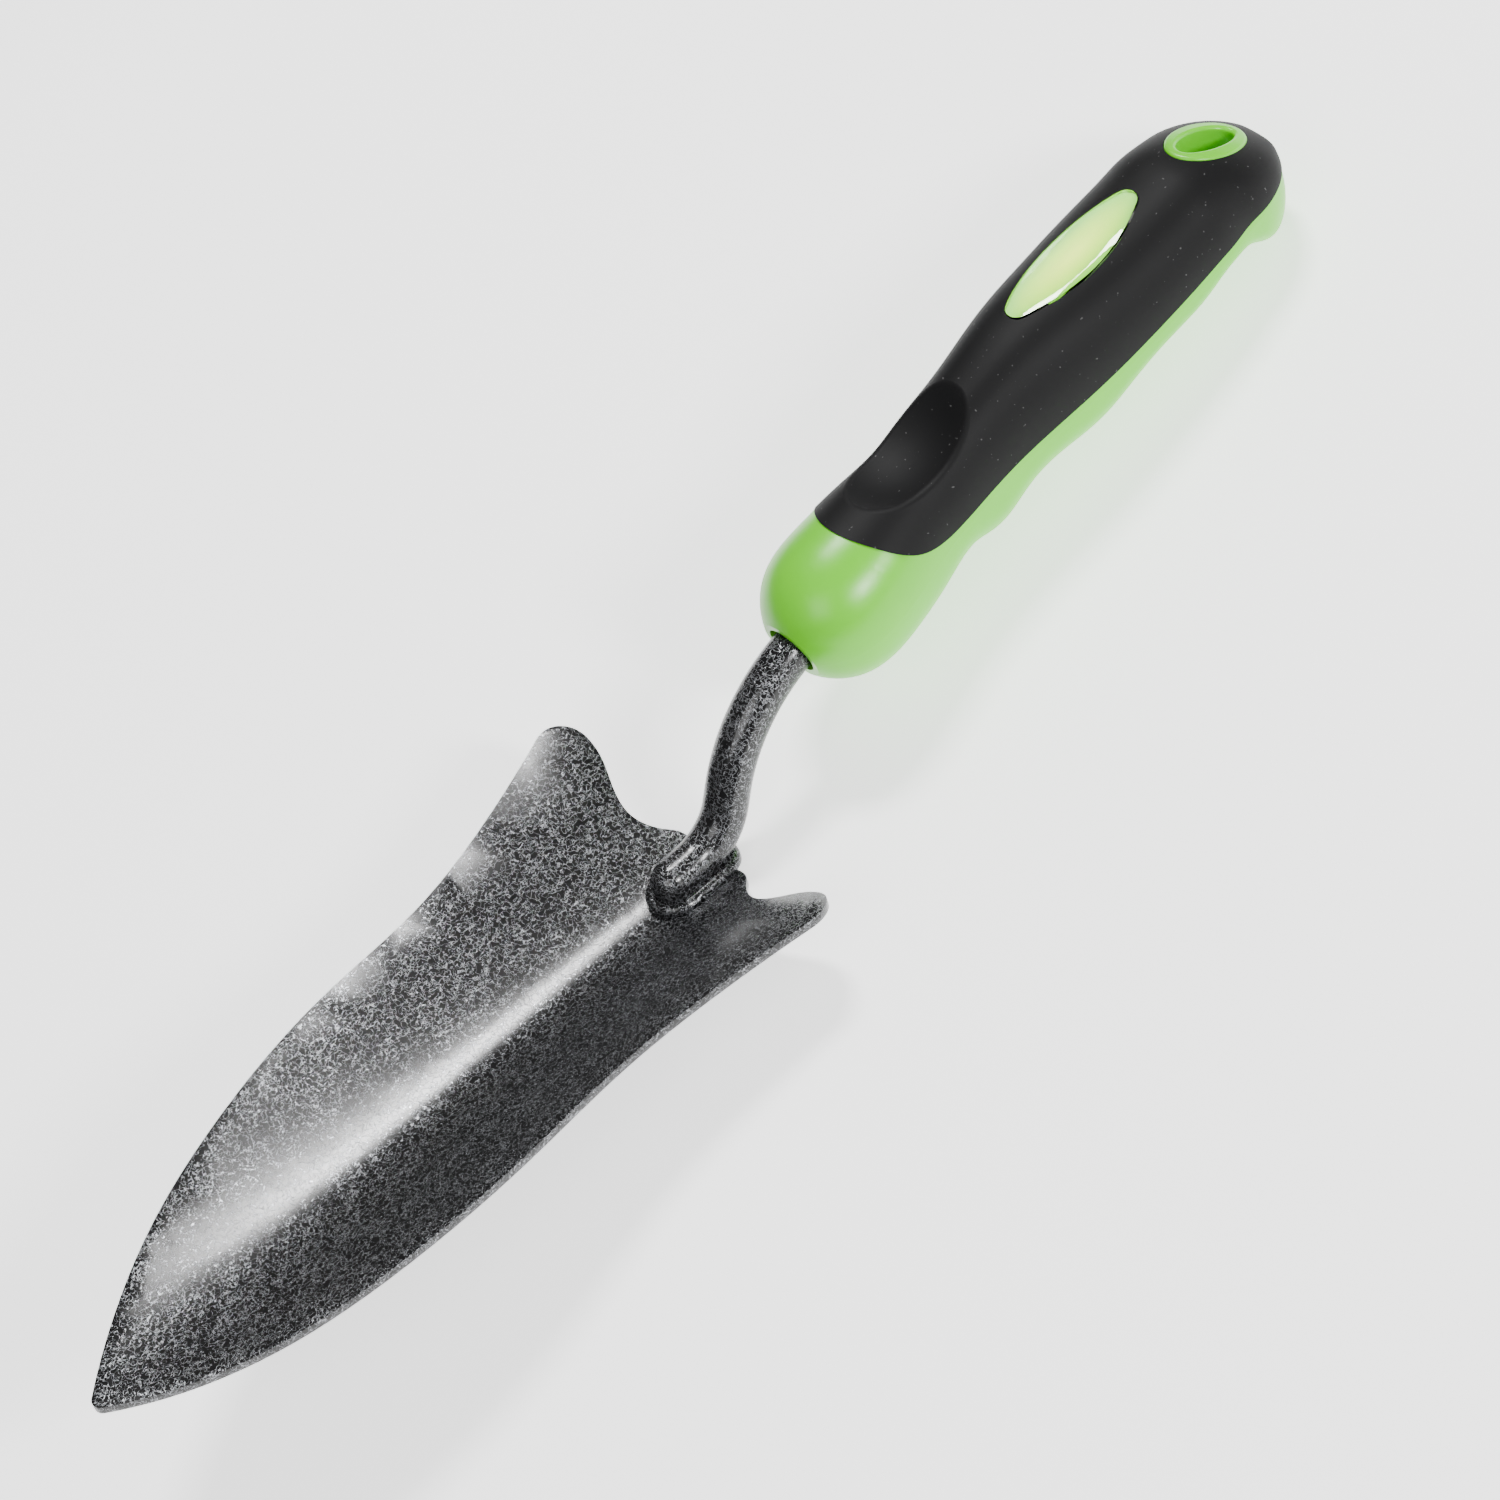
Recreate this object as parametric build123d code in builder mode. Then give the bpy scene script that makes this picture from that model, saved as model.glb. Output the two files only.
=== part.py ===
"""A hand trowel: a pressed steel blade welded to a swan-necked rod, in a two-part moulded handle.

Frame: +X runs towards the blade tip, +Y to the left, +Z up. The trowel lies as it does when it is
put down, on the rear end of its keel and on the hook of its handle, and the origin is under the
middle of its length on that surface. Blade and neck are drawn in the keel's own frame, which is
tipped up into this pose; the handle is drawn in a frame at the mouth of its socket.
"""

import os
from math import atan2, cos, degrees, hypot, radians, sin, sqrt, tan

from build123d import *

# ------------------------------------------------------------------ driving dimensions, millimetres

# Pressed blade. Stations run back from the tip along the keel.
blade_length = 163.0
sheet_thickness = 1.8
tip_flank_angle = 8.0        # slope of the trough's sides, flat at the tip and steeper at the ears
ear_flank_angle = 26.0
keel_roundness = 3.0         # how softly the two flanks turn into each other
tip_radius = 2.2
belly_half_width = 31.0      # the long middle of the blade
ear_half_width = 39.8
ear_radius = 5.0
notch_depth = 5.2            # forward of the tab's end
tab_half_width = 9.5

# Rod with the swan neck
rod_diameter = 9.0
nose_station = 147.6         # front of its rounded nose
neck_foot_station = 165.0    # corner where it leaves the trough
neck_foot_radius = 13.0
neck_head_radius = 36.0
neck_rise_angle = 62.5
buried_length = 78.0         # inside the handle
flat_depth = 1.3             # two flats at the buried end, so that it can't turn
flat_length = 20.0

# Weld
bead_reach = 1.7             # how far it spreads beside the rod
bead_height = 3.0            # up the rod's side, above the bottom of the trough
bead_tail_station = 161.0

# Handle, drawn from the mouth of its socket along its own axis
handle_rake = 10.8           # against the keel
handle_length = 138.0
mouth_station = 193.2
mouth_height = 34.8          # above the underside of the keel
mouth_clearance = 1.0        # all round the rod
mouth_bore_depth = 5.0
socket_gap = 2.0             # left behind the rod's end
bulb_station = 14.0
bulb_reach = 15.8            # radius of the round front of the bulb, along the axis
bulb_half_width = 15.1
bulb_top = 15.4
bulb_bottom = 16.2
grip_thickness = 2.2
grip_proud = 0.25            # step from the green up to the black skin
parting_height = 1.7         # of the line between the two colours, above the axis
hook_from_end = 11.5
hook_depth = 16.0

# Thumb rest: a shallow hollow of spherical form
thumb_station = 40.2
thumb_radius = 24.0
thumb_floor = 10.9           # above the axis
thumb_edge_round = 1.6

# Hang hole through the end, with a raised oval rim
hang_from_end = 10.5
hang_length = 11.7
hang_width = 7.3
rim_end_width = 2.0          # at the front and rear of the hole
rim_side_width = 3.0
rim_rise = 0.4
rim_edge_round = 0.7

# Badge: foil and clear dome in a recess of the grip
badge_from_end = 46.8
badge_length = 36.0
badge_width = 12.4
badge_end_radius = 3.0
badge_depth = 1.4            # of the recess, at its middle
badge_gap = 0.25
foil_thickness = 0.3
dome_rise = 0.35

# ------------------------------------------------------------------ frames

rake = radians(handle_rake)
hook_station = handle_length - hook_from_end
mouth_bore = rod_diameter + 2 * mouth_clearance
hook_reach = hook_depth - grip_proud
hook_back = mouth_station + hook_station * cos(rake) + hook_reach * sin(rake)
hook_up = mouth_height + hook_station * sin(rake) - hook_reach * cos(rake)
rest_pitch = degrees(atan2(hook_up, hook_back - blade_length))

end_back = mouth_station + handle_length * cos(rake) - blade_length
end_up = mouth_height + handle_length * sin(rake)
reach_forward = blade_length * cos(radians(rest_pitch))
reach_back = end_back * cos(radians(rest_pitch)) + end_up * sin(radians(rest_pitch))
keel_end_x = (reach_back - reach_forward) / 2

# The keel's frame: its local -X is the station, its Z=0 the underside of the keel.
keel_end = Location((keel_end_x, 0, 0), (0, -rest_pitch, 0))
tool = keel_end * Location((blade_length, 0, 0))

# The handle's frame: local X runs to the rear along its axis, local Z to its back.
mouth_centre = Location((-mouth_station, 0, mouth_height), (0, 0, 180))
mouth = tool * mouth_centre * Location((0, 0, 0), (0, -handle_rake, 0))


def plane_at(frame, origin, x_dir=(1, 0, 0), z_dir=(0, 0, 1)):
    """A sketch plane given in the coordinates of one of the frames."""
    return Plane(frame * Plane(origin=origin, x_dir=x_dir, z_dir=z_dir).location)


def side_plane(frame):
    """The plane of symmetry: sketch X is the frame's X and sketch Y its Z."""
    return plane_at(frame, (0, 0, 0), z_dir=(0, -1, 0))


# ------------------------------------------------------------------ blade

def flank_slope(station):
    """Tangent of the flank angle at a station."""
    turn = sin(radians(90) * min(station / blade_length, 1.0))
    return tan(radians(tip_flank_angle + (ear_flank_angle - tip_flank_angle) * turn))


def trough_point(station, y, lift):
    """A point of the sheet's cross-section, moved out from its underside by lift."""
    slope = flank_slope(station)
    root = sqrt((slope * y) ** 2 + keel_roundness ** 2)
    steepness = slope ** 2 * y / root
    length = hypot(1, steepness)
    return (y - lift * steepness / length, root - keel_roundness + lift / length)


former_half_width = ear_half_width + 8
former_stations = [-6, 20, 50, 80, 110, 140, blade_length + 8]


def former(lift):
    """The solid under the sheet, like the punch that the blade is pressed on, lifted by lift."""
    with BuildPart() as punch:
        for station in former_stations:
            with BuildSketch(plane_at(tool, (-station, 0, 0), (0, 1, 0), (1, 0, 0))):
                with BuildLine():
                    steps = [former_half_width * k / 6 for k in range(-6, 7)]
                    top = Spline(*[trough_point(station, y, lift) for y in steps])
                    Polyline(top @ 1, (former_half_width + 2, -12), (-former_half_width - 2, -12), top @ 0)
                make_face()
        loft()
    return punch.part


def blade_outline():
    """Half of the blade's plan, from the tip round the ear to the middle of the tab."""
    with BuildLine() as half:
        ear_start = (-(blade_length - 7), ear_half_width - 0.2)
        ear_end = (-blade_length, ear_half_width - ear_radius - 1.2)
        Spline(
            (0, 0),
            (-10, belly_half_width * 0.26),
            (-34, belly_half_width * 0.685),
            (-60, belly_half_width * 0.91),
            (-88, belly_half_width),
            (-114, belly_half_width),
            (-138, belly_half_width + 3.8),
            ear_start,
        )
        ear = ThreePointArc(ear_start, (-(blade_length - 1.6), ear_half_width - 1.9), ear_end)
        notch = Spline(
            ear_end,
            (-(blade_length - 3.0), tab_half_width + 15.5),
            (-(blade_length - notch_depth), tab_half_width + 8.5),
            (-(blade_length - 2.4), tab_half_width + 2.3),
            (-(blade_length - 0.6), tab_half_width),
            tangents=[ear % 1, (-0.45, -1)],
        )
        Spline(
            notch @ 1,
            (-blade_length, tab_half_width - 2.4),
            (-blade_length, 0),
            tangents=[notch % 1, (0, -1)],
        )
    return half.line


with BuildPart() as blade:
    add(former(sheet_thickness))
    add(former(0), mode=Mode.SUBTRACT)
    with BuildSketch(plane_at(tool, (0, 0, -20))) as plan:
        with BuildLine():
            add(blade_outline())
            mirror(about=Plane.XZ)
        make_face()
        fillet(plan.vertices().sort_by(Axis.X)[-1], tip_radius)
    extrude(amount=80, mode=Mode.INTERSECT)
blade.part.label = "blade"

# ------------------------------------------------------------------ rod with the swan neck

rod_radius = rod_diameter / 2
rod_seat = sheet_thickness + rod_radius
neck_foot = (-neck_foot_station, rod_seat)
axis_slope = tan(rake)
rise_slope = tan(radians(neck_rise_angle))
mouth_run = mouth_station - neck_foot_station
head_run = (mouth_height - rod_seat - axis_slope * mouth_run) / (rise_slope - axis_slope)
neck_head = (-(neck_foot_station + head_run), rod_seat + head_run * rise_slope)
buried_end = (
    -(mouth_station + buried_length * cos(rake)),
    mouth_height + buried_length * sin(rake),
)
nose_centre = (-(nose_station + rod_radius), rod_seat)

with BuildPart() as tang:
    with BuildLine(side_plane(tool)) as neck:
        corners = [nose_centre, neck_foot, neck_head, buried_end]
        FilletPolyline(*corners, radius=[neck_foot_radius, neck_head_radius])
    with BuildSketch(Plane(origin=neck.line @ 0, z_dir=neck.line % 0)):
        Circle(rod_radius)
    sweep(path=neck.line)
    with Locations(tool * Location((nose_centre[0], 0, nose_centre[1]))):
        Sphere(rod_radius)
    flat_centre = buried_length - flat_length / 2
    for side in (-1, 1):
        with Locations(mouth * Location((flat_centre, side * (2 * rod_radius - flat_depth), 0))):
            Box(flat_length, 2 * rod_radius, 2 * rod_diameter, mode=Mode.SUBTRACT)
tang.part.label = "tang"

# ------------------------------------------------------------------ weld round the foot of the rod

tool_up = Axis((0, 0, 0), plane_at(tool, (0, 0, 0)).z_dir)
bead_front = -nose_centre[0]

with BuildPart() as weld_bead:
    with BuildSketch(plane_at(tool, (-(bead_front + bead_tail_station) / 2, 0, -2))):
        SlotCenterToCenter(bead_tail_station - bead_front, 2 * (rod_radius + bead_reach))
    extrude(amount=2 + sheet_thickness + bead_height)
    fillet(weld_bead.faces().sort_by(tool_up)[-1].edges(), bead_reach * 0.95)
    add(former(sheet_thickness), mode=Mode.SUBTRACT)
    add(tang.part, mode=Mode.SUBTRACT)
weld_bead.part.label = "weld_bead"

# ------------------------------------------------------------------ form of the handle

# Share of the handle's length, then half width, back and belly measured from the axis.
# The belly rises and falls for the fingers and drops into the hook; the back falls away at the rear.
handle_form = [
    (0.175, 14.3, 15.3, 15.2),
    (0.245, 12.5, 15.2, 13.4),
    (0.32, 11.9, 15.8, 14.2),
    (0.40, 12.0, 17.2, 13.4),
    (0.48, 13.2, 18.4, 12.6),
    (0.565, 14.7, 18.6, 13.3),
    (0.65, 15.5, 17.6, 10.2),
    (0.735, 15.8, 16.7, 10.2),
    (0.80, 15.7, 16.2, 8.4),
    (0.85, 15.4, 15.8, 8.0),
    (0.885, 15.0, 14.2, 12.2),
    (0.917, 14.6, 11.8, hook_depth),
    (0.945, 13.2, 9.1, 15.2),
    (0.972, 10.6, 6.0, 11.0),
    (0.992, 7.0, 3.2, 6.4),
    (1.0, 4.0, 1.4, 3.0),
]
bulb_stations = [0, 1, 3, 7, bulb_station]
bulb_form = (bulb_half_width, bulb_top, bulb_bottom)


def bulb_share(station):
    """How far the round front of the bulb has opened at a station."""
    return sqrt(1 - ((bulb_station - station) / bulb_reach) ** 2)


handle_stations = [
    (station, *[size * bulb_share(station) for size in bulb_form]) for station in bulb_stations
]
handle_stations += [(share * handle_length, *sizes) for share, *sizes in handle_form]


def back_height(station):
    """Height of the handle's back over its axis, between the drawn stations."""
    for (start, _, top, _), (end, _, next_top, _) in zip(handle_stations, handle_stations[1:]):
        if start <= station <= end:
            return top + (next_top - top) * (station - start) / (end - start)


def section_points(station, half_width, top, bottom):
    """Points round a cross-section: round at the bulb, a little squarer in the palm."""
    squareness = 2.0 + 0.3 * min(1.0, max(0.0, (station - bulb_station) / (2 * bulb_station)))
    points = []
    for step in range(24):
        turn = radians(15 * step)
        across = abs(cos(turn)) ** (2 / squareness) * (1 if cos(turn) > 0 else -1)
        height = abs(sin(turn)) ** (2 / squareness)
        points.append((half_width * across, top * height if step < 12 else -bottom * height))
    return points


def handle_loft(inset):
    """The handle's whole form, drawn in all round by inset."""
    fall_start = 0.85 * handle_length
    with BuildPart() as form:
        for station, half_width, top, bottom in handle_stations:
            if inset > 0 and top - inset < 0.5:
                continue
            pull = inset * max(0, (station - fall_start) / (handle_length - fall_start))
            with BuildSketch(plane_at(mouth, (station - pull, 0, 0), (0, -1, 0), (-1, 0, 0))):
                with BuildLine():
                    Spline(
                        *section_points(station, half_width - inset, top - inset, bottom - inset),
                        periodic=True,
                    )
                make_face()
        loft()
    return form.part


def handle_body(inset):
    """The form with the thumb rest pressed into its back."""
    with BuildPart() as body:
        add(handle_loft(inset))
        with Locations(mouth * Location((thumb_station, 0, thumb_floor + thumb_radius))):
            Sphere(thumb_radius + inset, mode=Mode.SUBTRACT)
    return body.part


with BuildPart() as outer_form:
    add(handle_body(0))
    fillet(outer_form.faces().filter_by(GeomType.SPHERE)[0].edges(), thumb_edge_round)
outer_body = outer_form.part
green_body = handle_body(grip_proud)
inner_body = handle_body(grip_thickness)

# ------------------------------------------------------------------ outline of the grip, from the side

far = handle_length + 10
grip_front = bulb_station + 5.4

with BuildPart() as grip_region:
    with BuildSketch(side_plane(mouth)):
        with BuildLine():
            edge = Spline(
                (grip_front - 1.5, bulb_top + 2.5),
                (grip_front + 1.7, bulb_top * 0.90),
                (grip_front + 4.7, bulb_top * 0.655),
                (grip_front + 9.8, parting_height + 3.4),
                (grip_front + 15.2, parting_height + 0.8),
                (grip_front + 22, parting_height),
                tangents=[(0.5, -1), (1, 0)],
            )
            rear = Spline(
                (0.85 * handle_length, parting_height),
                (0.94 * handle_length, parting_height - 1.2),
                (far, parting_height - 6),
                tangents=[(1, 0), (1, -0.4)],
            )
            Line(edge @ 1, rear @ 0)
            Polyline(rear @ 1, (far, 40), (grip_front - 1.5, 40), edge @ 0)
        make_face()
    extrude(amount=30, both=True)

with BuildPart() as grip_blank:
    add(grip_region.part)
    add(outer_body, mode=Mode.INTERSECT)
    add(inner_body, mode=Mode.SUBTRACT)

# ------------------------------------------------------------------ badge frame and outline

badge_station = handle_length - badge_from_end
badge_fall = back_height(badge_station - badge_length / 2) - back_height(badge_station + badge_length / 2)
badge_tilt = degrees(atan2(badge_fall, badge_length))
badge_seat = mouth * Location(
    (badge_station, 0, back_height(badge_station) - badge_depth), (0, badge_tilt, 0)
)


def almond(length, width, end_radius):
    """Two flat arcs that meet in rounded ends."""
    half_length = length / 2 - end_radius
    half_width = width / 2
    arc_radius = (half_width**2 - end_radius**2 + half_length**2) / (2 * (half_width - end_radius))
    corner = sqrt(arc_radius**2 - (arc_radius - half_width) ** 2)
    with BuildSketch(Plane.XY, mode=Mode.PRIVATE) as leaf:
        with BuildLine():
            ThreePointArc((-corner, 0), (0, half_width), (corner, 0))
            ThreePointArc((-corner, 0), (0, -half_width), (corner, 0))
        make_face()
        fillet(leaf.vertices(), end_radius)
    return leaf.sketch


recess_outline = almond(badge_length, badge_width, badge_end_radius)
badge_outline = almond(
    badge_length - 2 * badge_gap, badge_width - 2 * badge_gap, badge_end_radius - badge_gap
)

# ------------------------------------------------------------------ handle core

hang_station = handle_length - hang_from_end
hang_plane = plane_at(mouth, (hang_station, 0, 0))

with BuildPart() as handle_core:
    add(green_body)
    add(grip_region.part, mode=Mode.SUBTRACT)
    add(inner_body)
    with BuildPart(mode=Mode.PRIVATE) as rim:
        with BuildSketch(hang_plane):
            Ellipse(hang_length / 2 + rim_end_width, hang_width / 2 + rim_side_width)
            Ellipse(hang_length / 2, hang_width / 2, mode=Mode.SUBTRACT)
        extrude(amount=40)
        add(handle_loft(-rim_rise), mode=Mode.INTERSECT)
        fillet(rim.faces().sort_by(Axis(hang_plane.origin, hang_plane.z_dir))[-1].edges(), rim_edge_round)
    add(rim.part)
    with BuildSketch(hang_plane):
        Ellipse(hang_length / 2, hang_width / 2)
    extrude(amount=40, both=True, mode=Mode.SUBTRACT)
    with BuildSketch(plane_at(mouth, (0, 0, 0), (0, 1, 0), (1, 0, 0))):
        Circle(mouth_bore / 2)
    extrude(amount=mouth_bore_depth, mode=Mode.SUBTRACT)
    with BuildSketch(plane_at(mouth, (0, 0, 0), (0, 1, 0), (1, 0, 0))):
        Circle(rod_radius)
    extrude(amount=buried_length + socket_gap, mode=Mode.SUBTRACT)
handle_core.part.label = "handle_core"

# ------------------------------------------------------------------ grip

with BuildPart() as grip_overmould:
    add(grip_blank.part)
    with BuildSketch(hang_plane):
        Ellipse(hang_length / 2 + rim_end_width, hang_width / 2 + rim_side_width)
    extrude(amount=40, mode=Mode.SUBTRACT)
    with BuildSketch(plane_at(badge_seat, (0, 0, 0))):
        add(recess_outline)
    extrude(amount=20, mode=Mode.SUBTRACT)
grip_overmould.part.label = "grip_overmould"

# ------------------------------------------------------------------ badge

with BuildPart() as badge_label:
    with BuildSketch(plane_at(badge_seat, (0, 0, 0))):
        add(badge_outline)
    extrude(amount=foil_thickness)
badge_label.part.label = "badge_label"

with BuildPart() as badge_dome:
    with BuildSketch(plane_at(badge_seat, (0, 0, foil_thickness))):
        add(badge_outline)
    extrude(amount=10)
    add(handle_loft(-dome_rise), mode=Mode.INTERSECT)
badge_dome.part.label = "badge_dome"

# ------------------------------------------------------------------ files

os.makedirs("parts", exist_ok=True)
export_step(blade.part, "parts/blade.step")
export_step(tang.part, "parts/tang.step")
export_step(weld_bead.part, "parts/weld_bead.step")
export_step(handle_core.part, "parts/handle_core.step")
export_step(grip_overmould.part, "parts/grip_overmould.step")
export_step(badge_label.part, "parts/badge_label.step")
export_step(badge_dome.part, "parts/badge_dome.step")
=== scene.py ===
# %% [markdown]
# # A hand trowel in silver-vein coat and soft-grip plastic
#
# The trowel's pieces arrive from CAD at their real size and place: a pressed steel blade, a
# swan-necked rod, its weld, a green handle core, a black soft grip and a small domed badge. This
# lesson gives each of them the surface that its maker gave it, and then lights and frames them.

# %% Load the model and keep its box
import math

import bpy
from mathutils import Matrix, Vector


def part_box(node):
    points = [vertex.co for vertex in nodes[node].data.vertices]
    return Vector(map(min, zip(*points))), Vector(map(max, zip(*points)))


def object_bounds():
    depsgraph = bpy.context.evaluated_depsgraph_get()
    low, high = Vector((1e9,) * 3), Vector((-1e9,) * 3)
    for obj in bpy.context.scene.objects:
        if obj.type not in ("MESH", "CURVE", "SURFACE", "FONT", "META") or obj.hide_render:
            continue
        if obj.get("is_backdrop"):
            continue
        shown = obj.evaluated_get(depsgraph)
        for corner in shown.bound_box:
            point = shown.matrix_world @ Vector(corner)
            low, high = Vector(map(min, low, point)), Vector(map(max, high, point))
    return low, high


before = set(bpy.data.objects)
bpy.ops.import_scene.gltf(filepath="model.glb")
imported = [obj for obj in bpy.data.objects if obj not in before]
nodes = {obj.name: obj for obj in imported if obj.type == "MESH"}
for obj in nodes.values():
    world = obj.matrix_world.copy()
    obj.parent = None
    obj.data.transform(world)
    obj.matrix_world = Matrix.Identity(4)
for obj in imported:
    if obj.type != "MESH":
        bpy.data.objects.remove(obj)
cad_low, cad_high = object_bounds()
print("pieces:", ", ".join(sorted(nodes)))
print("overall size in mm:", [round(side * 1000, 1) for side in cad_high - cad_low])

MM = 0.001


# %% [markdown]
# ## Small tools for materials
#
# Paint and plastic makers give colours as the eye sees them on a screen, in sRGB hex. Blender
# mixes light in linear values, so one function converts between the two. A second function adds a
# shader node together with its settings and links, which keeps each material short enough to read
# in one go. The last three open a new material, close it, and give it to a piece.

# %% Colour, node and material helpers
def linear(hex_colour):
    """An sRGB hex colour as the linear red, green, blue and alpha that shaders use."""
    channels = [int(hex_colour[i:i + 2], 16) / 255 for i in (1, 3, 5)]
    curve = [c / 12.92 if c <= 0.04045 else ((c + 0.055) / 1.055) ** 2.4 for c in channels]
    return (*curve, 1.0)


def node(tree, kind, settings=None, **inputs):
    """Adds a node. Its inputs are given by name, with _ for a space, or by number, as in _0."""
    made = tree.nodes.new(kind)
    for name, value in (settings or {}).items():
        setattr(made, name, value)
    for name, value in inputs.items():
        by_number = name.startswith("_")
        socket = made.inputs[int(name[1:]) if by_number else name.replace("_", " ")]
        if isinstance(value, bpy.types.NodeSocket):
            tree.links.new(value, socket)
        else:
            socket.default_value = value
    return made


def new_material(name):
    """An empty material, and its node tree."""
    material = bpy.data.materials.new(name)
    material.use_nodes = True
    material.node_tree.nodes.clear()
    return material, material.node_tree


def finish_material(tree, shader):
    """Joins a shader to the material's output."""
    node(tree, "ShaderNodeOutputMaterial", Surface=shader)


def dress(piece, material):
    """Gives a whole piece one material."""
    piece.data.materials.clear()
    piece.data.materials.append(material)


# %% [markdown]
# ## The coat on the steel: silver-vein powder coat
#
# Blade, rod and weld are coated together after welding. The powder is black with aluminium flake
# in it. In the oven the black draws together into glossy blots about a millimetre wide, and the
# flake is pushed into a net of veins between them. To the eye that gives two surfaces in one: the
# blots are black lacquer, and the veins are metal, a little rougher, that turns almost white
# wherever it reflects a lamp.
#
# A cell texture would give straight-sided cells, like cracked mud. The line along which a noise
# crosses its middle value wanders as a real vein does. Two such noises laid over each other give a
# net with junctions, and a third, slow one lets the veins drift between fine and coarse.

# %% Silver-vein coat
BLOT_SPACING = 1.05 * MM      # from one black blot to the next
VEIN_WIDTH = 0.021            # in steps of the noise: larger makes wider veins
COAT_DRIFT = 7 * MM           # how far apart fine and coarse patches of veins lie
BLOT_HEIGHT = 0.03 * MM       # the black stands a little above the veins
FINE, COARSE = 0.8, 1.2       # veins in the finest and coarsest patches, as shares of VEIN_WIDTH
BLOT_COLOUR, VEIN_COLOUR = "#040405", "#9B9DA1"
BLOT_ROUGHNESS = 0.22
VEIN_ROUGHNESS = 0.29
LACQUER = 0.10                # share of clear binder that comes to the top
LACQUER_ROUGHNESS = 0.15


def vein_lines(tree, place, seed, width):
    """1 along the lines where a noise crosses its middle value, and 0 away from them."""
    noise = node(
        tree, "ShaderNodeTexNoise", {"noise_dimensions": "4D"}, Vector=place, W=seed,
        Scale=1 / BLOT_SPACING, Detail=1.5, Roughness=0.5, Distortion=0.3,
    ).outputs["Fac"]
    apart = node(tree, "ShaderNodeMath", {"operation": "SUBTRACT"}, _0=noise, _1=0.5)
    apart = node(tree, "ShaderNodeMath", {"operation": "ABSOLUTE"}, _0=apart.outputs[0])
    return node(
        tree, "ShaderNodeMapRange", {"interpolation_type": "SMOOTHSTEP"},
        Value=apart.outputs[0], From_Min=0, From_Max=width, To_Min=1, To_Max=0,
    ).outputs["Result"]


def silver_vein_coat():
    material, tree = new_material("silver_vein_coat")
    place = node(tree, "ShaderNodeTexCoord").outputs["Object"]
    slow = node(
        tree, "ShaderNodeTexNoise", Vector=place, Scale=1 / COAT_DRIFT, Detail=1.0,
    ).outputs["Fac"]
    width = node(
        tree, "ShaderNodeMapRange", Value=slow, From_Min=0.3, From_Max=0.7,
        To_Min=FINE * VEIN_WIDTH, To_Max=COARSE * VEIN_WIDTH,
    ).outputs["Result"]
    veins = node(
        tree, "ShaderNodeMath", {"operation": "MAXIMUM"},
        _0=vein_lines(tree, place, 1.0, width), _1=vein_lines(tree, place, 7.0, width),
    ).outputs[0]
    colour = node(
        tree, "ShaderNodeMix", {"data_type": "RGBA"},
        Factor=veins, _6=linear(BLOT_COLOUR), _7=linear(VEIN_COLOUR),
    ).outputs[2]
    matt = node(
        tree, "ShaderNodeMapRange", Value=veins, To_Min=BLOT_ROUGHNESS, To_Max=VEIN_ROUGHNESS,
    ).outputs["Result"]
    relief = node(
        tree, "ShaderNodeBump", {"invert": True},
        Height=veins, Strength=0.6, Distance=BLOT_HEIGHT,
    ).outputs["Normal"]
    shader = node(
        tree, "ShaderNodeBsdfPrincipled",
        Base_Color=colour, Metallic=veins, Roughness=matt, Normal=relief,
    )
    shader.inputs["Coat Weight"].default_value = LACQUER
    shader.inputs["Coat Roughness"].default_value = LACQUER_ROUGHNESS
    finish_material(tree, shader.outputs[0])
    return material


coat = silver_vein_coat()
for name in ("blade", "tang", "weld_bead"):
    dress(nodes[name], coat)
print("coat: blots every", round(BLOT_SPACING / MM, 2), "mm")


# %% [markdown]
# ## The blade's edge
#
# A pressed blade is cut from sheet with square edges, and the melted powder then rounds them off. A
# narrow bevel does the same, inside the sheet's own outline. The facets are joined first, because
# the bevel needs faces that share their edges.
#
# This has a known fault. Joining and bevelling change how shading runs over the long facets beside
# the edge. From above, that shows as jagged bright patches near the ears, and the hardened normals
# make them stronger. Leaving out the call of soften_edges() removes them, and the rounding with them.

# %% Soft edge on the blade
EDGE_ROUNDING = 0.45 * MM
EDGE_ANGLE = 40               # degrees: only sharper corners than this are rounded
EDGE_STEPS = 3
JOIN_WITHIN = 0.001 * MM


def soften_edges(piece):
    """Rounds a piece's sharp edges a little, inside its own outline."""
    join = piece.modifiers.new("join_facets", "WELD")
    join.merge_threshold = JOIN_WITHIN
    bevel = piece.modifiers.new("soft_edges", "BEVEL")
    bevel.width = EDGE_ROUNDING
    bevel.segments = EDGE_STEPS
    bevel.limit_method = "ANGLE"
    bevel.angle_limit = math.radians(EDGE_ANGLE)
    bevel.harden_normals = True


soften_edges(nodes["blade"])
print("blade: edges rounded by", round(EDGE_ROUNDING / MM, 2), "mm")


# %% [markdown]
# ## The handle core: green polypropylene
#
# The core is injection moulded polypropylene, a slightly waxy, half-glossy plastic. Light enters it
# a little way, which keeps its shadows green. The mould was polished, so the surface is smooth, with
# only faint scuffs from the bag it was packed in.

# %% Green polypropylene
TINT_DRIFT = 22 * MM          # how far apart lighter and darker green lie
SCUFF_SPACING = 3.5 * MM
SKIN_GRAIN = 0.5 * MM
SKIN_DEPTH = 0.01 * MM
GREENS = ("#5CC404", "#68CC0C")
GREEN_ROUGHNESS = (0.27, 0.36)    # clean, and scuffed
POLYPROPYLENE_IOR = 1.49
LIGHT_SHARE = 0.06            # of the light that enters the plastic
LIGHT_DEPTH = 1.5 * MM        # how far it spreads under the skin
LIGHT_REACH = (0.7, 1.0, 0.25)    # red, green and blue, as shares of that depth


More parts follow.
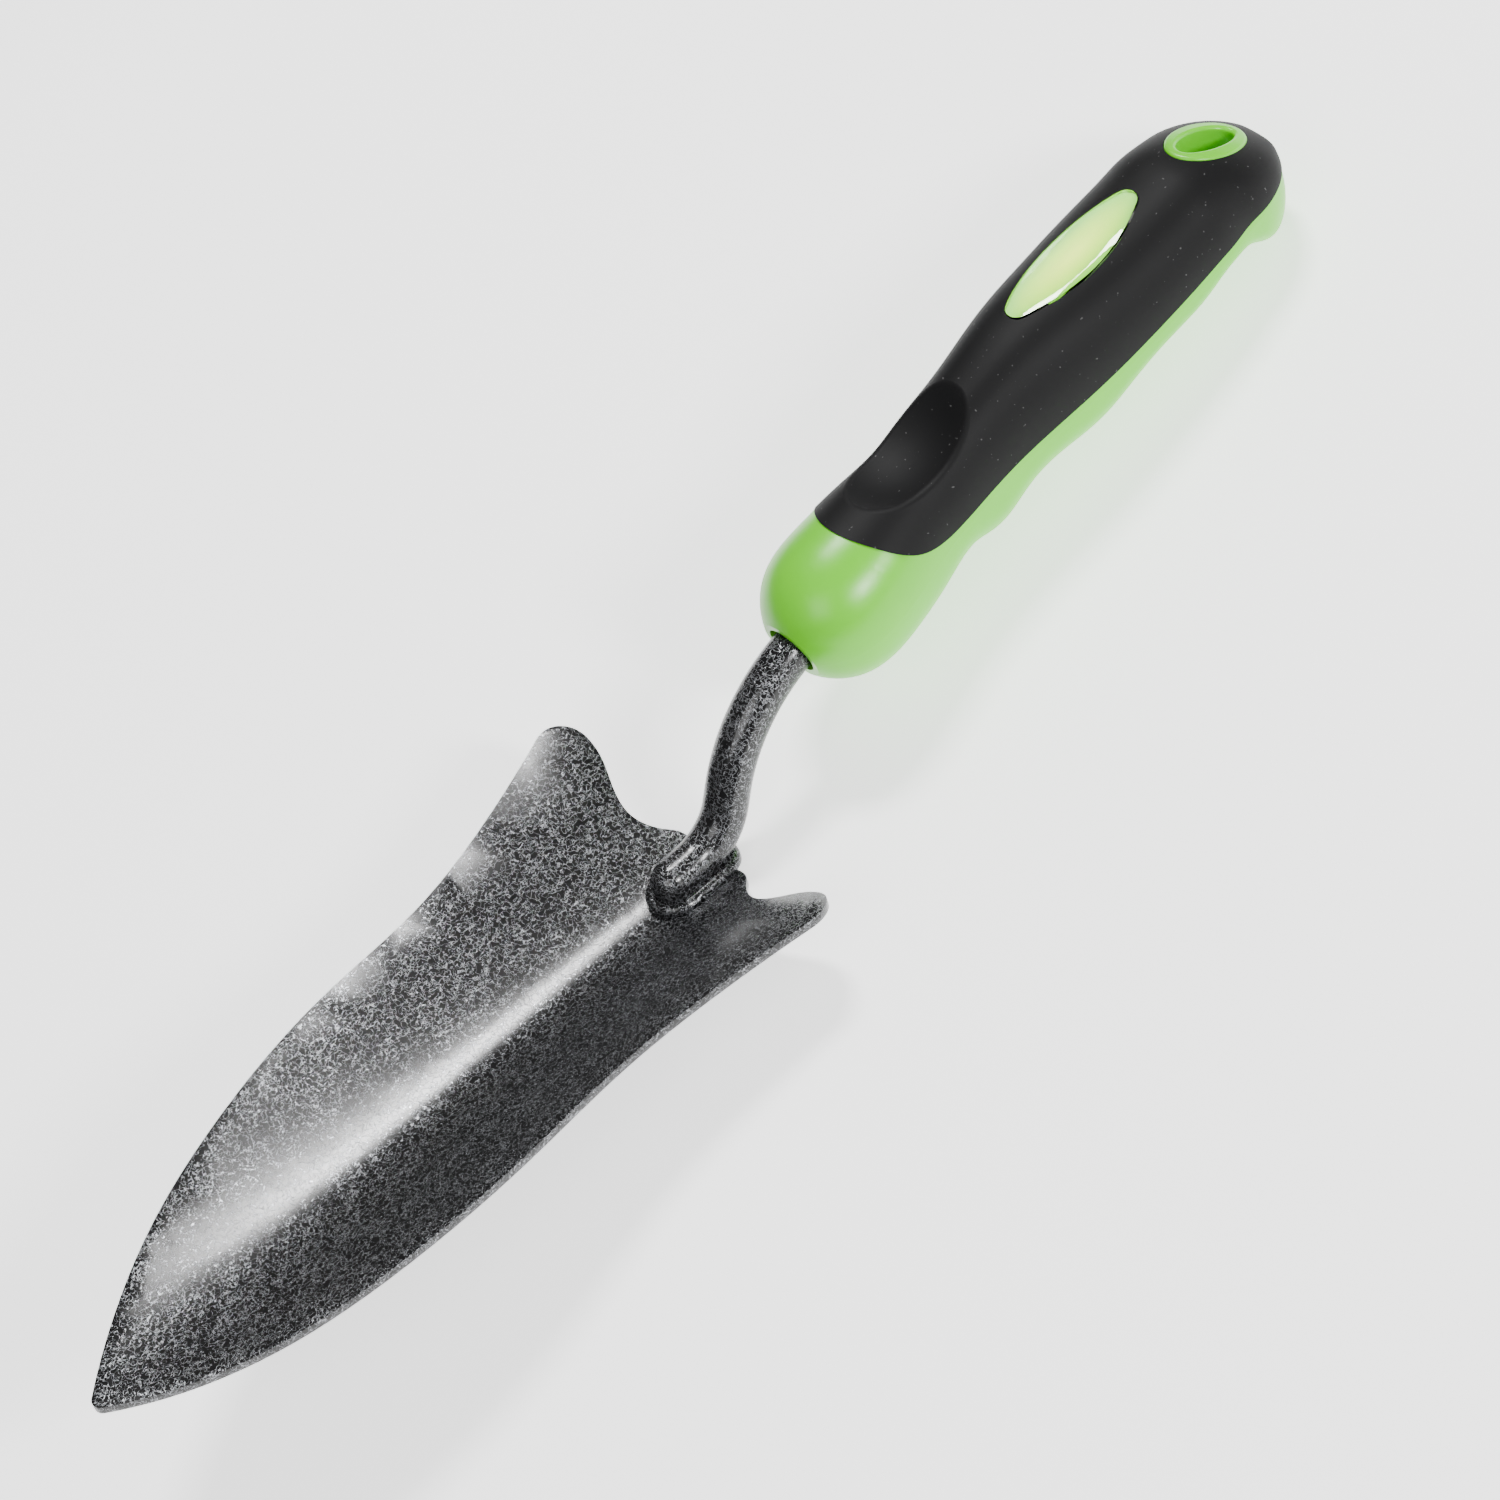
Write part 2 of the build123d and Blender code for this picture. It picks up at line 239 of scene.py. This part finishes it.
def green_polypropylene():
    material, tree = new_material("green_polypropylene")
    place = node(tree, "ShaderNodeTexCoord").outputs["Object"]
    cloud = node(
        tree, "ShaderNodeTexNoise", Vector=place, Scale=1 / TINT_DRIFT, Detail=2.0,
    ).outputs["Fac"]
    colour = node(
        tree, "ShaderNodeMix", {"data_type": "RGBA"},
        Factor=cloud, _6=linear(GREENS[0]), _7=linear(GREENS[1]),
    ).outputs[2]
    handling = node(
        tree, "ShaderNodeTexNoise", Vector=place, Scale=1 / SCUFF_SPACING, Detail=3.0,
    ).outputs["Fac"]
    smooth, scuffed = GREEN_ROUGHNESS
    gloss = node(
        tree, "ShaderNodeMapRange", Value=handling, To_Min=smooth, To_Max=scuffed,
    ).outputs["Result"]
    skin = node(
        tree, "ShaderNodeTexNoise", Vector=place, Scale=1 / SKIN_GRAIN, Detail=2.0,
    ).outputs["Fac"]
    relief = node(
        tree, "ShaderNodeBump", Height=skin, Strength=0.12, Distance=SKIN_DEPTH,
    ).outputs["Normal"]
    shader = node(
        tree, "ShaderNodeBsdfPrincipled",
        Base_Color=colour, Roughness=gloss, Normal=relief,
    )
    shader.inputs["IOR"].default_value = POLYPROPYLENE_IOR
    shader.inputs["Subsurface Weight"].default_value = LIGHT_SHARE
    shader.inputs["Subsurface Radius"].default_value = LIGHT_REACH
    shader.inputs["Subsurface Scale"].default_value = LIGHT_DEPTH
    finish_material(tree, shader.outputs[0])
    return material


dress(nodes["handle_core"], green_polypropylene())
print("handle core: roughness", *GREEN_ROUGHNESS)


# %% [markdown]
# ## The grip: black thermoplastic rubber
#
# The black skin is thermoplastic rubber, moulded over the core in a spark-eroded tool. The tool's
# fine pits leave it matt and break up most of its reflection, so its specular level is low. The real
# pits are too fine to show, so their grain is drawn a few times coarser. Rubber picks up pale dust,
# which sparse specks stand for, and a trace of sheen greys its edges.

# %% Black soft grip
PIT_SPACING = 0.25 * MM       # coarser than the real pits, so that they show
PIT_DEPTH = 0.015 * MM
SPECK_SPACING = 0.8 * MM
SPECK_START, SPECK_FULL = 0.73, 0.80    # the noise rises this high only here and there
SPECK_STRENGTH = 0.22
SPECK_COLOUR = "#8C8C8C"
RUBBER_COLOURS = ("#070708", "#0C0C0D")
SHADE_DRIFT = 14 * MM
RUBBER_ROUGHNESS = 0.58
RUBBER_IOR = 1.5
RUBBER_SPECULAR = 0.17        # the pits shade much of their own reflection
SHEEN = 0.02
SHEEN_ROUGHNESS = 0.4


def black_rubber():
    material, tree = new_material("black_thermoplastic_rubber")
    place = node(tree, "ShaderNodeTexCoord").outputs["Object"]
    dust = node(
        tree, "ShaderNodeTexNoise", Vector=place, Scale=1 / SPECK_SPACING, Detail=1.0,
    ).outputs["Fac"]
    specks = node(
        tree, "ShaderNodeMapRange", {"interpolation_type": "SMOOTHSTEP"},
        Value=dust, From_Min=SPECK_START, From_Max=SPECK_FULL, To_Max=SPECK_STRENGTH,
    ).outputs["Result"]
    cloud = node(
        tree, "ShaderNodeTexNoise", Vector=place, Scale=1 / SHADE_DRIFT, Detail=3.0,
    ).outputs["Fac"]
    rubber = node(
        tree, "ShaderNodeMix", {"data_type": "RGBA"},
        Factor=cloud, _6=linear(RUBBER_COLOURS[0]), _7=linear(RUBBER_COLOURS[1]),
    ).outputs[2]
    colour = node(
        tree, "ShaderNodeMix", {"data_type": "RGBA"},
        Factor=specks, _6=rubber, _7=linear(SPECK_COLOUR),
    ).outputs[2]
    grain = node(
        tree, "ShaderNodeTexNoise", Vector=place, Scale=1 / PIT_SPACING, Detail=2.0,
    ).outputs["Fac"]
    relief = node(
        tree, "ShaderNodeBump", Height=grain, Strength=0.35, Distance=PIT_DEPTH,
    ).outputs["Normal"]
    shader = node(
        tree, "ShaderNodeBsdfPrincipled",
        Base_Color=colour, Roughness=RUBBER_ROUGHNESS, Normal=relief,
    )
    shader.inputs["IOR"].default_value = RUBBER_IOR
    shader.inputs["Specular IOR Level"].default_value = RUBBER_SPECULAR
    shader.inputs["Sheen Weight"].default_value = SHEEN
    shader.inputs["Sheen Roughness"].default_value = SHEEN_ROUGHNESS
    finish_material(tree, shader.outputs[0])
    return material


dress(nodes["grip_overmould"], black_rubber())
print("grip: pits every", round(PIT_SPACING / MM, 2), "mm")


# %% [markdown]
# ## The badge: printed foil under a clear resin dome
#
# The foil is printed lime, paler at its middle and greener at its edge. Its lettering is left out,
# so it stays a plain colour fade. Resin poured on top draws itself into a dome with rounded edges.
# Light reaches the foil through the resin, so the dome casts no shadow. Foil and resin touch, and two
# faces in one place would show as stripes, so the foil is drawn in by a hair.

# %% Printed foil
FOIL_COLOURS = ("#CBE83A", "#A2D400", "#5CAA00")    # middle, field and rim
FOIL_STOPS = (0.10, 0.50, 0.86)                     # where each lies, from the middle to the edge
FOIL_REACH = 0.85                                   # how far the fade gets at the badge's two ends
FOIL_ROUGHNESS = 0.4
FOIL_CLEARANCE = 0.03 * MM


def lime_foil(piece):
    material, tree = new_material("lime_printed_foil")
    low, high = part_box(piece)
    middle = [(a + b) / 2 for a, b in zip(low, high)]
    half_width = (high[1] - low[1]) / 2
    half_length = (high[0] - low[0]) / 2
    place = node(tree, "ShaderNodeTexCoord").outputs["Object"]
    centred = node(
        tree, "ShaderNodeVectorMath", {"operation": "SUBTRACT"}, _0=place, _1=middle,
    ).outputs[0]
    scaled = node(
        tree, "ShaderNodeVectorMath", {"operation": "MULTIPLY"},
        _0=centred, _1=(FOIL_REACH / half_length, 1 / half_width, 0),
    ).outputs[0]
    spread = node(tree, "ShaderNodeVectorMath", {"operation": "LENGTH"}, _0=scaled).outputs["Value"]
    fade = node(tree, "ShaderNodeValToRGB", Fac=spread)
    ramp = fade.color_ramp.elements
    ramp[0].position, ramp[1].position = FOIL_STOPS[:2]
    ramp.new(FOIL_STOPS[2])
    for stop, colour in zip(ramp, FOIL_COLOURS):
        stop.color = linear(colour)
    shader = node(
        tree, "ShaderNodeBsdfPrincipled", Base_Color=fade.outputs[0], Roughness=FOIL_ROUGHNESS,
    )
    finish_material(tree, shader.outputs[0])
    return material


dress(nodes["badge_label"], lime_foil("badge_label"))
draw_in = nodes["badge_label"].modifiers.new("clear_of_resin", "DISPLACE")
draw_in.strength = -FOIL_CLEARANCE
draw_in.mid_level = 0


# %% Clear resin dome
RESIN_IOR = 1.5
RESIN_ROUGHNESS = 0.03
RIPPLE_SPACING = 8 * MM
RIPPLE_HEIGHT = 0.05 * MM


def clear_resin():
    material, tree = new_material("clear_epoxy_resin")
    place = node(tree, "ShaderNodeTexCoord").outputs["Object"]
    ripple = node(
        tree, "ShaderNodeTexNoise", Vector=place, Scale=1 / RIPPLE_SPACING, Detail=1.0,
    ).outputs["Fac"]
    relief = node(tree, "ShaderNodeBump", Height=ripple, Strength=0.2, Distance=RIPPLE_HEIGHT)
    shader = node(
        tree, "ShaderNodeBsdfPrincipled",
        Base_Color=linear("#FBFFF2"), Roughness=RESIN_ROUGHNESS, Normal=relief.outputs["Normal"],
    )
    shader.inputs["IOR"].default_value = RESIN_IOR
    shader.inputs["Transmission Weight"].default_value = 1.0
    finish_material(tree, shader.outputs[0])
    return material


dress(nodes["badge_dome"], clear_resin())
nodes["badge_dome"].visible_shadow = False
print("badge:", round(FOIL_CLEARANCE / MM, 2), "mm between foil and resin")


# %% [markdown]
# ## Floor, lights and camera
#
# The trowel lies on a sheet of white acrylic that is lit from below, the usual way to keep a
# catalogue background pale and nearly free of shadow. The glow fades away from the middle, so that
# polished sides see darker surroundings. A high lamp stands beyond the end of the handle, and its
# reflection runs down the trough as one bright streak. A small one at the left puts the points of
# light on rod and bulb, and a wide weak one opens the shadows.

# %% White table
TABLE_GLOW = 1.3              # strength of the light from below, under the trowel
EDGE_GLOW = 0.1               # what is left of it away from the trowel
GLOW_CORE = 0.25              # metres from the middle where the glow starts to fade
GLOW_RADIUS = 0.55            # and where its fading ends
TABLE_HALF = 3.0
TABLE_GAP = 0.2 * MM          # keeps the top clear of the faces that rest on it


def stage_table():
    mesh = bpy.data.meshes.new("white_table")
    half = TABLE_HALF
    corners = [(-half, -half, 0), (half, -half, 0), (half, half, 0), (-half, half, 0)]
    mesh.from_pydata(corners, [], [(0, 1, 2, 3)])
    table = bpy.data.objects.new("white_table", mesh)
    table.location.z = -TABLE_GAP
    bpy.context.scene.collection.objects.link(table)
    material, tree = new_material("white_acrylic_top")
    place = node(tree, "ShaderNodeTexCoord").outputs["Object"]
    away = node(tree, "ShaderNodeVectorMath", {"operation": "LENGTH"}, _0=place).outputs["Value"]
    glow = node(
        tree, "ShaderNodeMapRange", {"interpolation_type": "SMOOTHSTEP"},
        Value=away, From_Min=GLOW_CORE, From_Max=GLOW_RADIUS, To_Min=TABLE_GLOW, To_Max=EDGE_GLOW,
    ).outputs["Result"]
    shader = node(
        tree, "ShaderNodeBsdfPrincipled",
        Base_Color=linear("#F8F8F8"), Roughness=0.9, Emission_Strength=glow,
    )
    shader.inputs["Emission Color"].default_value = linear("#FFFFFF")
    finish_material(tree, shader.outputs[0])
    dress(table, material)
    table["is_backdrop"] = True


stage_table()
print("table: lit to", GLOW_RADIUS, "m from the middle")


# %% Lamps and surrounding light
SURROUNDING_LIGHT = 0.22


def aim(thing, place, target):
    """Puts a lamp or camera at a place and turns its -Z towards a target."""
    thing.location = place
    thing.rotation_mode = "QUATERNION"
    thing.rotation_quaternion = (Vector(target) - Vector(place)).to_track_quat("-Z", "Y")


def soft_lamp(name, place, target, width, height, power):
    """A rectangular lamp: place, target and sides in metres, power in watts."""
    lamp = bpy.data.lights.new(name, "AREA")
    lamp.shape = "RECTANGLE"
    lamp.size = width
    lamp.size_y = height
    lamp.energy = power
    holder = bpy.data.objects.new(name, lamp)
    bpy.context.scene.collection.objects.link(holder)
    aim(holder, place, target)


soft_lamp("over_trough", (-0.62, -0.38, 1.18), (0.07, 0, 0.03), 0.36, 0.18, 21)
soft_lamp("left_window", (-0.35, 1.15, 0.75), (-0.1, 0, 0.02), 0.18, 0.28, 18)
soft_lamp("front_fill", (0.9, 0.6, 1.3), (0, 0, 0.02), 0.9, 0.9, 10)

world = bpy.data.worlds.new("studio")
bpy.context.scene.world = world
world.use_nodes = True
world.node_tree.nodes["Background"].inputs["Color"].default_value = linear("#FFFFFF")
world.node_tree.nodes["Background"].inputs["Strength"].default_value = SURROUNDING_LIGHT
print("lamps:", ", ".join(lamp.name for lamp in bpy.data.lights))


# %% Camera
CAMERA_AZIMUTH = 167.4        # degrees round from the rear side, seen from the left of the blade
CAMERA_HEIGHT = 51.5          # degrees above the table
CAMERA_ROLL = -40.9           # degrees: lays the trowel across the picture's diagonal
CAMERA_DISTANCE = 1.301
CAMERA_REACH = 20             # metres: past the far corners of the table
LENS = 163.8
LOOK_AT = (-0.0094, 0.0031, 0.020)


def place_camera():
    around, above = math.radians(CAMERA_AZIMUTH), math.radians(CAMERA_HEIGHT)
    back = Vector((
        math.sin(around) * math.cos(above),
        -math.cos(around) * math.cos(above),
        math.sin(above),
    ))
    camera = bpy.data.objects.new("camera", bpy.data.cameras.new("camera"))
    camera.data.lens = LENS
    camera.data.clip_end = CAMERA_REACH
    bpy.context.scene.collection.objects.link(camera)
    upright = (-back).to_track_quat("-Z", "Y").to_matrix().to_4x4()
    camera.matrix_world = (
        Matrix.Translation(Vector(LOOK_AT) + back * CAMERA_DISTANCE)
        @ upright @ Matrix.Rotation(math.radians(CAMERA_ROLL), 4, "Z")
    )
    bpy.context.scene.camera = camera
    print("camera at", [round(c, 3) for c in camera.matrix_world.translation])


place_camera()


# %% Compare the finished size with the CAD box, and finish
low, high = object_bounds()
change = max(abs(a - b) for a, b in zip((*low, *high), (*cad_low, *cad_high)))
print("largest change of the box in mm:", round(change / MM, 3))
